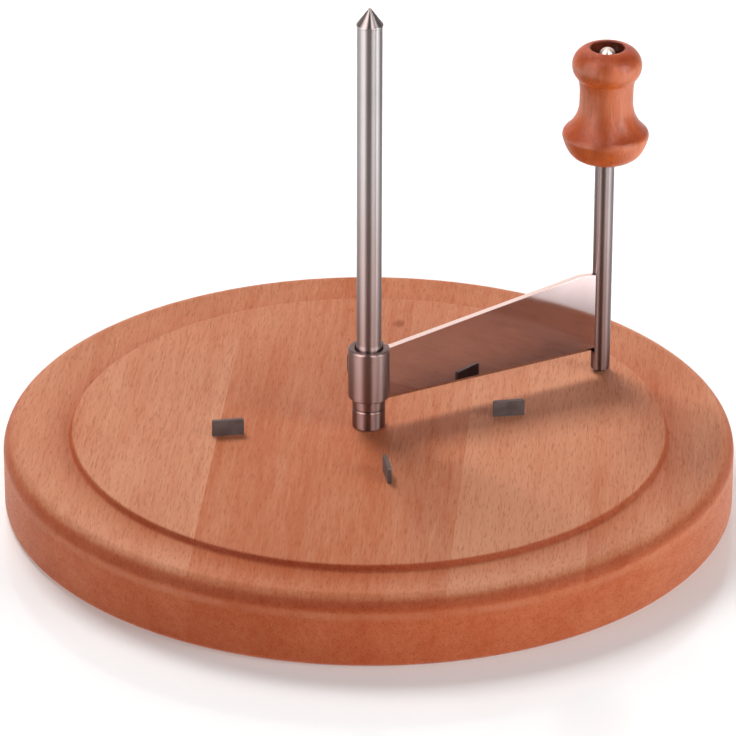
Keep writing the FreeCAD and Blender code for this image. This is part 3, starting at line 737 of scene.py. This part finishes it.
@once
def plated_steel(recipe, finish):
    at, haze, base = steel_base(recipe, finish.plated)
    grain = recipe.noise(at, (0.6, 0.6, 0.6), detail=3)
    return recipe.steel(base, recipe.remap(haze, *NOISE_RANGE, 0.25, 0.4), grain, 0.006)


# ---- operators


class PieceOperator(bpy.types.Operator):
    """Shared ground of the operators below."""

    bl_options = {"REGISTER", "UNDO"}


PRONGS = (1, 2, 3, 4)


def stand_at_prong(mesh, number):
    """Turn a mesh as the prong is turned, and move it to where the prong stands."""
    middle = sum(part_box(f"holding_prong_{number}"), Vector()) / 2
    turn = shape().prong_turn + math.tau * (number - 1) / len(PRONGS)
    bmesh.ops.rotate(mesh, verts=mesh.verts[:], matrix=Matrix.Rotation(turn, 3, "Z"))
    shift(mesh, (middle.x, middle.y, 0))


class CURLER_OT_board(PieceOperator):
    """Turn the board, with its groove, spindle seat and recess, and cut the prongs' slots"""

    bl_idname = "curler.board"
    bl_label = "Board"

    def execute(self, context):
        size = shape()
        _, radius, low, top = axis_of("board")
        rim = top - size.rim_drop
        rim_start = radius - size.edge_round
        deepest = radius - size.groove_inset
        floor = top - size.groove_depth
        slope = size.groove_wall_slope
        wall = deepest - size.groove_round * math.sin(slope)
        wall_foot = floor + size.groove_round * (1 - math.cos(slope))
        lip = wall - (top - wall_foot) / math.tan(slope)
        soft = size.lip_softness
        profile = Turning(size.screw_hole_radius, low + size.counterbore_depth)
        profile.to(size.counterbore_radius, low + size.counterbore_depth)
        profile.to(size.counterbore_radius, low, soft)
        profile.to(radius - size.foot_bevel, low, soft)
        profile.to(radius, low + size.foot_bevel, soft)
        profile.to(radius, rim - size.edge_round)
        profile.arc(rim_start, rim, size.edge_round, steps=12)
        profile.arc(deepest, floor, upright_arc(rim - floor, rim_start - deepest), steps=12,
                    left=False)
        profile.arc(wall, wall_foot, size.groove_round, steps=6, left=False)
        profile.to(lip, top, soft)
        profile.to(size.seat_radius, top, soft / 2)
        profile.to(size.seat_radius, top - size.seat_depth)
        profile.to(size.screw_hole_radius, top - size.seat_depth)
        made = new_object("beech_board", profile.close().turned(size.wide_steps))
        half_width = size.prong_width / 2 + size.prong_gap
        half_plate = size.prong_plate / 2 + size.prong_gap
        for number in PRONGS:
            low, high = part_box(f"holding_prong_{number}")
            slot = block((-half_width, -half_plate, low.z - size.prong_gap),
                         (half_width, half_plate, high.z))
            stand_at_prong(slot, number)
            cut(made, slot)
        finish_piece(made, "board", oiled_board_beech())
        return {"FINISHED"}


class CURLER_OT_prongs(PieceOperator):
    """Stand the four holding prongs in the board"""

    bl_idname = "curler.prongs"
    bl_label = "Holding prongs"

    def execute(self, context):
        size = shape()
        half = size.prong_width / 2
        end = half * 0.6
        nip = size.prong_plate / 4
        soft = 0.08 * MM
        for number in PRONGS:
            low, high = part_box(f"holding_prong_{number}")
            tang = (low.z + axis_of("board")[3]) / 2
            mesh = plate([
                (-end, low.z), (end, low.z), (half, tang), (half, high.z - nip),
                (half - nip, high.z), (-half + nip, high.z), (-half, high.z - nip), (-half, tang),
            ], size.prong_plate)
            soften_edges(mesh, soft, least=25)
            stand_at_prong(mesh, number)
            finish_piece(new_object(f"prong_plate_{number}", mesh), f"holding_prong_{number}",
                         dull_plate_steel())
        return {"FINISHED"}


class CURLER_OT_spindle(PieceOperator):
    """Turn the spindle and its point"""

    bl_idname = "curler.spindle"
    bl_label = "Spindle"

    def execute(self, context):
        size = shape()
        steps = size.narrow_steps
        _, journal, low, top = axis_of("spindle")
        journal_top = axis_of("blade_hub")[3] + size.journal_proud
        bevel, soft = size.ring_bevel, size.steel_softness
        bore = size.spigot_radius + size.spigot_gap
        floor = top - size.spigot_length - size.spigot_gap
        profile = Turning(size.tapped_radius, low)
        profile.to(journal - bevel, low).to(journal, low + bevel)
        profile.to(journal, journal_top, soft)
        profile.to(size.shaft_radius, journal_top + size.journal_taper, soft)
        profile.to(size.shaft_radius, top).to(bore, top).to(bore, floor).to(0, floor)
        profile.to(0, low + size.tapped_depth).to(size.tapped_radius, low + size.tapped_depth)
        made = new_object("ground_spindle", profile.close().turned(steps))
        finish_piece(made, "spindle", ground_rod_steel())

        _, lip, low, high = axis_of("spindle_point")
        seat = low + size.spigot_length
        spigot, nip = size.spigot_radius, 0.4 * MM
        lip_foot_soft, lip_top_soft = 0.08 * MM, 0.12 * MM
        profile = Turning(0, low).to(spigot - nip, low).to(spigot, low + nip).to(spigot, seat)
        profile.to(lip, seat, lip_foot_soft).to(lip, seat + size.lip_height, lip_top_soft)
        profile.to(size.tip_radius, high, soft).to(0, high)
        made = new_object("cone_point", profile.turned(steps))
        finish_piece(made, "spindle_point", ground_rod_steel())
        return {"FINISHED"}


class CURLER_OT_rings(PieceOperator):
    """Turn the fixed collar and the loose ring at the spindle's foot"""

    bl_idname = "curler.rings"
    bl_label = "Collar and ring"

    def execute(self, context):
        size = shape()
        bevel = size.ring_bevel
        soft = bevel / 3
        rings = (("foot_collar", "spindle_collar", size.collar_bore, 0.0),
                 ("loose_ring", "bearing_ring", size.ring_bore, size.seat_gap))
        for name, node, bore, gap in rings:
            _, radius, low, high = axis_of(node)
            low += gap
            profile = Turning(bore, low).to(radius - bevel, low, soft).to(radius, low + bevel, soft)
            profile.to(radius, high - bevel, soft).to(radius - bevel, high, soft).to(bore, high)
            made = new_object(name, profile.close().turned(size.narrow_steps))
            finish_piece(made, node, ground_rod_steel())
        return {"FINISHED"}


class CURLER_OT_hub(PieceOperator):
    """Turn the hub and cut the blade's slot in it"""

    bl_idname = "curler.hub"
    bl_label = "Hub"

    def execute(self, context):
        size = shape()
        _, radius, low, high = axis_of("blade_hub")
        bore, bevel = size.hub_bore, size.hub_bevel
        soft = bevel / 3
        profile = Turning(bore + bevel, low, soft)
        for x, z in ((radius - bevel, low), (radius, low + bevel), (radius, high - bevel),
                     (radius - bevel, high), (bore + bevel, high), (bore, high - bevel),
                     (bore, low + bevel)):
            profile.to(x, z, soft)
        made = new_object("slotted_hub", profile.close().turned(size.narrow_steps))
        half = blade_thickness() / 2
        cut(made, block((radius - size.blade_let_in, -half, low - bevel),
                        (radius * 2, half, high + bevel)))
        finish_piece(made, "blade_hub", ground_rod_steel())
        return {"FINISHED"}


def blade_thickness():
    low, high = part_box("scraper_blade")
    return high.y - low.y


class CURLER_OT_blade(PieceOperator):
    """Cut the blade's outline and grind its bevel"""

    bl_idname = "curler.blade"
    bl_label = "Blade"

    def execute(self, context):
        size = shape()
        low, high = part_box("scraper_blade")
        _, hub, hub_low, _ = axis_of("blade_hub")
        rod_axis, rod, _, _ = axis_of("crank_rod")
        thick = blade_thickness()
        corner = rod_axis - rod - size.blade_corner
        mesh = plate([
            (hub, low.z), (high.x, low.z), (high.x, high.z - size.blade_corner_drop),
            (corner, high.z), (low.x, high.z - size.blade_rise), (low.x, hub_low), (hub, hub_low),
        ], thick, rounds=[(3, size.blade_corner_round)])
        near, far = -thick / 2, thick / 2
        face_end = Vector((0, near, low.z + size.blade_bevel))
        slope = Vector((0, far - size.blade_edge, low.z)) - face_end
        normal = Vector((0, slope.z, -slope.y))
        ground = bmesh.ops.bisect_plane(mesh, geom=mesh.verts[:] + mesh.edges[:] + mesh.faces[:],
                                        plane_co=face_end, plane_no=normal, dist=1e-8,
                                        clear_outer=True)
        rim = [item for item in ground["geom_cut"] if isinstance(item, bmesh.types.BMEdge)]
        bmesh.ops.holes_fill(mesh, edges=rim, sides=0)
        tidy(mesh)
        soften_edges(mesh, size.steel_softness, least=15)
        made = new_object("bevelled_blade", mesh)
        finish_piece(made, "scraper_blade", polished_plate_steel(),
                     sharp=20)
        return {"FINISHED"}


class CURLER_OT_rod(PieceOperator):
    """Turn the crank rod and cut the blade's slot in it"""

    bl_idname = "curler.rod"
    bl_label = "Crank rod"

    def execute(self, context):
        size = shape()
        axis, radius, low, top = axis_of("crank_rod")
        journal, bevel = size.rod_journal, size.rod_bevel
        shoulder = axis_of("knob")[2] + size.knob_socket_depth - size.seat_gap
        _, _, ring_low, ring_high = axis_of("knob_retaining_ring")
        gap, soft, dome_soft = 0.05 * MM, 0.15 * MM, 0.12 * MM
        deep = journal - size.clip_groove_depth
        profile = Turning(0, low).to(radius - bevel, low, soft).to(radius, low + bevel, soft)
        profile.to(radius, shoulder).to(journal, shoulder)
        profile.to(journal, ring_low - gap).to(deep, ring_low - gap)
        profile.to(deep, ring_high + gap).to(journal, ring_high + gap)
        profile.to(journal, top - size.rod_dome, dome_soft)
        profile.arc(0, top, upright_arc(size.rod_dome, journal), steps=8)
        made = new_object("crank_bar", profile.turned(size.narrow_steps, axis))
        blade_low, blade_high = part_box("scraper_blade")
        half = blade_thickness() / 2
        cut(made, block((axis - radius * 2, -half, blade_low.z),
                        (axis - radius + size.blade_let_in, half, blade_high.z)))
        finish_piece(made, "crank_rod", crank_rod_steel())
        return {"FINISHED"}


class CURLER_OT_knob(PieceOperator):
    """Turn the knob with its stepped bore"""

    bl_idname = "curler.knob"
    bl_label = "Knob"

    def execute(self, context):
        size = shape()
        axis, base, low, top = axis_of("knob")
        neck = size.knob_neck
        widest = low + size.knob_base_rise
        crest = base - size.knob_crest_width
        crest_level = widest + size.knob_crest_height
        crest_round = upright_arc(size.knob_crest_width, size.knob_crest_height)
        neck_level = widest + size.knob_flare_rise
        bead_level = neck_level + size.knob_neck_rise + size.knob_shoulder_rise
        bead_axis = neck + size.knob_head_swell - size.knob_bead_round
        bead_foot = bead_axis + math.sqrt(size.knob_bead_round ** 2 - size.knob_bead_rise ** 2)
        soft, crest_soft, bead_soft = 0.25 * MM, 0.1 * MM, 0.12 * MM
        profile = Turning(size.knob_socket, low).to(size.knob_foot, low)
        profile.arc(base - size.knob_side_inset, low + size.knob_side_level, size.knob_underside,
                    steps=8)
        profile.arc(base, widest, size.knob_side_round, steps=5)
        profile.arc(crest, crest_level, crest_round, steps=4, soft=crest_soft)
        profile.arc(neck, neck_level, upright_arc(crest - neck, neck_level - crest_level), steps=16,
                    left=False)
        profile.to(neck, neck_level + size.knob_neck_rise)
        profile.arc(bead_foot, bead_level, upright_arc(bead_foot - neck, size.knob_shoulder_rise),
                    steps=10, left=False, soft=bead_soft)
        profile.arc(size.knob_recess + size.knob_rim, top, size.knob_bead_round, steps=20,
                    soft=soft)
        profile.to(size.knob_recess, top, soft).to(size.knob_recess, top - size.knob_recess_depth)
        profile.to(size.knob_bore, top - size.knob_recess_depth)
        profile.to(size.knob_bore, low + size.knob_socket_depth)
        profile.to(size.knob_socket, low + size.knob_socket_depth)
        made = new_object("turned_knob", profile.close().turned(size.narrow_steps, axis))
        finish_piece(made, "knob", oiled_knob_beech())
        return {"FINISHED"}


class CURLER_OT_fixings(PieceOperator):
    """Give the screw, the washers and the retaining ring their plated finish"""

    bl_idname = "curler.fixings"
    bl_label = "Fixings"

    def execute(self, context):
        for node in ("anchor_screw", "anchor_washer", "anchor_spring_washer", "knob_washer",
                     "knob_retaining_ring"):
            slots = frame["nodes"][node].data.materials
            slots.clear()
            slots.append(plated_steel())
        return {"FINISHED"}


# Lamps: width and height (m), azimuth from the camera's side towards the right of the view and
# elevation (degrees), and whether gloss shows them.
LAMPS = {
    "key": (0.55, 0.5, -152, 52, False),
    "back": (1.3, 0.4, 180, 15, False),
    "right": (0.6, 1.1, 64, 15, True),
    "left": (0.25, 0.9, -52, 17, True),
}
# Brightness of the studio as gloss shows it, by the same azimuth: on the floor away from the
# object, and on the screen round it.
LOW_STUDIO = (
    (-180, 0.9), (-146, 1.1), (-110, 2.2), (-88, 3.2), (-70, 4.4), (-48, 4.4), (-34, 2.6),
    (-20, 1.1), (0, 0.8), (12, 0.9), (24, 2.0), (38, 3.6), (50, 4.6), (54, 0.87), (60, 0.87),
    (64, 5.6), (84, 5.4), (96, 3.0), (114, 1.4), (146, 1.0), (180, 0.9),
)
HIGH_STUDIO = (
    (-180, 1.0), (-150, 0.9), (-112, 0.3), (-90, 1.0), (-80, 6.0), (-40, 6.0), (-30, 1.0),
    (-22, 0.1), (8, 0.1), (14, 1.0), (21, 6.0), (40, 6.0), (48, 1.0), (56, 0.3), (112, 0.2),
    (150, 0.9), (180, 1.0),
)
BRIGHTEST = 6.0


def set_camera(plan):
    lens = bpy.data.cameras.new("camera")
    lens.lens = plan.camera_lens
    lens.clip_end = plan.camera_reach
    camera = bpy.data.objects.new("camera", lens)
    turn = (Matrix.Rotation(plan.camera_turn, 4, "Z") @ Matrix.Rotation(plan.camera_tilt, 4, "X")
            @ Matrix.Rotation(plan.camera_roll, 4, "Z"))
    camera.matrix_world = Matrix.Translation(plan.camera_place) @ turn
    bpy.context.scene.collection.objects.link(camera)
    bpy.context.scene.camera = camera


def set_lamps(plan):
    for name, (width, height, azimuth, elevation, in_gloss) in LAMPS.items():
        data = bpy.data.lights.new(name + "_lamp", "AREA")
        data.shape = "RECTANGLE"
        data.size = width
        data.size_y = height
        data.energy = getattr(plan, name + "_power")
        made = bpy.data.objects.new(name + "_lamp", data)
        heading = math.radians(azimuth) + plan.camera_turn - math.pi / 2
        rise = math.radians(elevation)
        away = Vector((math.cos(heading) * math.cos(rise), math.sin(heading) * math.cos(rise),
                       math.sin(rise)))
        made.location = Vector((0, 0, plan.lamp_aim)) + away * plan.lamp_distance
        made.rotation_euler = away.to_track_quat("Z", "Y").to_euler()
        made.visible_glossy = in_gloss
        bpy.context.scene.collection.objects.link(made)


def studio_light(recipe, tones, tint=(1.0, 1.0, 1.0)):
    """Emission that follows the given tones round the object."""
    at = recipe.add("TexCoord").outputs["Object"]
    turn = math.pi / 2 - stage().camera_turn
    parts = recipe.split(recipe.add("Mapping", {"Vector": at, "Rotation": (0, 0, turn)}).outputs[0])
    azimuth = recipe.calc("ARCTAN2", parts["Y"], parts["X"])
    stops = [((degrees + 180) / 360, tone / BRIGHTEST) for degrees, tone in tones]
    tone = recipe.ramp(recipe.remap(azimuth, -math.pi, math.pi), stops)
    tone = recipe.blend(1.0, tone, tint, "MULTIPLY")
    return recipe.add("Emission", {"Color": tone, "Strength": BRIGHTEST}).outputs[0]


def lay_floor(plan):
    """White floor that keeps the shadow, mirrors faintly, and is clear when seen from below."""
    mesh = bmesh.new()
    bmesh.ops.create_circle(mesh, cap_ends=True, segments=plan.stage_steps,
                            radius=plan.floor_radius)
    shift(mesh, (0, 0, -plan.floor_gap))
    floor = new_object("floor", mesh)
    recipe = Recipe(bpy.data.materials.new("white_acrylic"))
    path = recipe.add("LightPath").outputs
    out = recipe.distance(recipe.add("TexCoord").outputs["Object"])
    rim = axis_of("board")[1]
    white = recipe.add("Emission", {"Strength": 1.0}).outputs[0]

    shine = recipe.add("BsdfPrincipled", {"Base Color": (plan.floor_albedo,) * 3 + (1.0,),
                                          "Roughness": plan.floor_roughness,
                                          "IOR": plan.floor_ior}).outputs[0]
    # Painted shade round the board: the glow is weaker next to it.
    near = recipe.remap(out, rim, rim + plan.floor_fade, plan.floor_shade, 1.0, smooth=True)
    glow = recipe.add("Emission", {"Strength": recipe.times(near, plan.floor_glow)}).outputs[0]
    lit = recipe.add("AddShader", {0: shine, 1: glow}).outputs[0]
    # Far from the board the camera sees plain white.
    far = recipe.times(path["Is Camera Ray"], recipe.remap(out, rim * 4.0, rim * 8.0))
    shown = recipe.mixed(far, lit, white)
    # Gloss shows white next to the board, and the studio farther out.
    away = recipe.remap(out, rim * 1.3, rim * 1.9)
    mirrored = recipe.mixed(away, white, studio_light(recipe, LOW_STUDIO))
    above = recipe.mixed(path["Is Glossy Ray"], shown, mirrored)
    below = recipe.add("NewGeometry").outputs["Backfacing"]
    clear = recipe.add("BsdfTransparent").outputs[0]
    recipe.add("OutputMaterial", {"Surface": recipe.mixed(below, above, clear)})
    floor.data.materials.append(recipe.owner)


def surround(plan):
    """World that is white where it is seen or mirrored, and a dim plain light otherwise."""
    world = bpy.data.worlds.new("surroundings")
    bpy.context.scene.world = world
    recipe = Recipe(world)
    path = recipe.add("LightPath").outputs
    seen = recipe.calc("MAXIMUM", path["Is Camera Ray"], path["Is Glossy Ray"])
    seen = recipe.calc("MAXIMUM", seen, path["Is Transmission Ray"])
    level = recipe.remap(seen, 0, 1, plan.sky, 1.0)
    backdrop = recipe.add("Background", {"Color": (1.0,) * 4, "Strength": level})
    recipe.add("OutputWorld", {"Surface": backdrop.outputs[0]})


def hang_screen(plan):
    """Round screen that only gloss shows."""
    line = Turning(plan.screen_radius, 0).to(plan.screen_radius, plan.screen_height)
    screen = new_object("screen", line.turned(plan.stage_steps))
    recipe = Recipe(bpy.data.materials.new("studio_light"))
    light = studio_light(recipe, HIGH_STUDIO, plan.screen_tint)
    recipe.add("OutputMaterial", {"Surface": light})
    screen.data.materials.append(recipe.owner)
    for ray in ("camera", "diffuse", "transmission", "volume_scatter", "shadow"):
        setattr(screen, "visible_" + ray, False)


class CURLER_OT_stage(PieceOperator):
    """Set the camera, the lamps, the floor and the plain surroundings"""

    bl_idname = "curler.stage"
    bl_label = "Stage"

    def execute(self, context):
        context.scene.view_settings.view_transform = "Standard"
        for step in (set_camera, set_lamps, lay_floor, surround, hang_screen):
            step(stage())
        return {"FINISHED"}


PIECES = (CURLER_OT_board, CURLER_OT_prongs, CURLER_OT_spindle, CURLER_OT_rings, CURLER_OT_hub,
          CURLER_OT_blade, CURLER_OT_rod, CURLER_OT_knob, CURLER_OT_fixings, CURLER_OT_stage)


class CURLER_PT_panel(bpy.types.Panel):
    """Lists the curler's sizes, finishes and pieces"""

    bl_idname = "CURLER_PT_panel"
    bl_label = "Cheese curler"
    bl_space_type = "VIEW_3D"
    bl_region_type = "UI"
    bl_category = "Curler"

    def draw(self, context):
        for operator in PIECES:
            self.layout.operator(operator.bl_idname)
        for group in (shape(), look(), stage()):
            box = self.layout.box()
            for name in group.__annotations__:
                box.prop(group, name)


CLASSES = (CurlerShape, CurlerFinish, CurlerStage) + PIECES + (CURLER_PT_panel,)


def register():
    for item in CLASSES:
        bpy.utils.register_class(item)
    bpy.types.Scene.curler_shape = PointerProperty(type=CurlerShape)
    bpy.types.Scene.curler_finish = PointerProperty(type=CurlerFinish)
    bpy.types.Scene.curler_stage = PointerProperty(type=CurlerStage)


def unregister():
    del bpy.types.Scene.curler_stage
    del bpy.types.Scene.curler_finish
    del bpy.types.Scene.curler_shape
    for item in reversed(CLASSES):
        bpy.utils.unregister_class(item)


def main():
    register()
    for operator in PIECES:
        group, name = operator.bl_idname.split(".")
        getattr(getattr(bpy.ops, group), name)()


if __name__ == "__main__":
    main()
